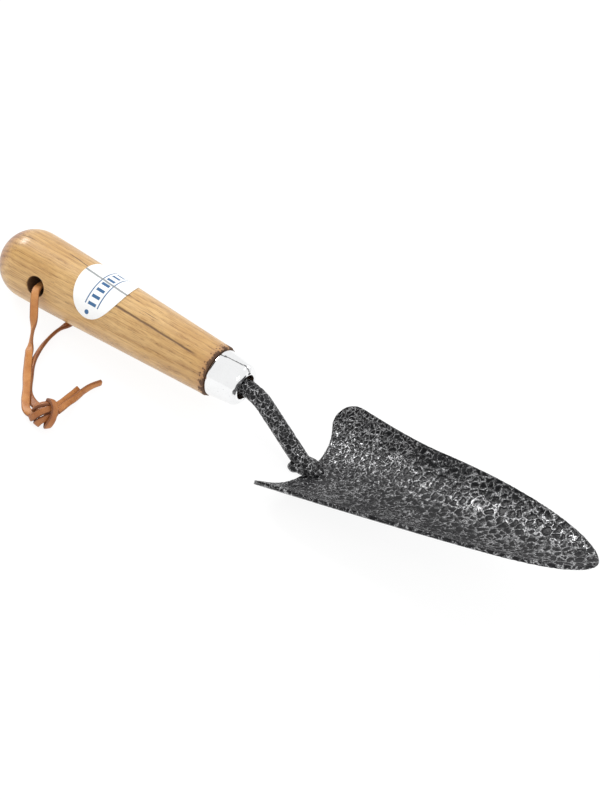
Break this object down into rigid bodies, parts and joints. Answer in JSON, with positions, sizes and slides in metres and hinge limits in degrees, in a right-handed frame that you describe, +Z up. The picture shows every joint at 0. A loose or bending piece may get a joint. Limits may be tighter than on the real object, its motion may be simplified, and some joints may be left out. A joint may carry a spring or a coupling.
{
  "type": "hand transplanter",
  "caption": "Garden hand transplanter: narrow pressed-steel trough with pointed tip on a cranked neck, chromed ferrule, turned ash handle and a knotted leather hanging thong.",
  "frame": {"origin": "on the ground, below the middle of the tool as it lies on its butt and on the rear edge of its blade", "axes": "+X along the tool towards the blade's tip, +Y to the left, +Z up; the hollow of the blade faces up"},
  "size_m": [0.3238, 0.1069, 0.0492],
  "materials": {
    "ash": "lacquered",
    "chrome": "bright",
    "hammered_paint": "hammered",
    "vinyl": "gloss",
    "leather": "waxed"
  },
  "bodies": {
    "root": {"handle": "ash", "ferrule": "chrome", "neck": "hammered_paint", "weld": "hammered_paint", "blade": "hammered_paint", "label": "vinyl", "thong_near": "leather", "thong_far": "leather", "thong_knot": "leather", "thong_tail_short": "leather", "thong_tail_long": "leather"}
  },
  "joints": []
}
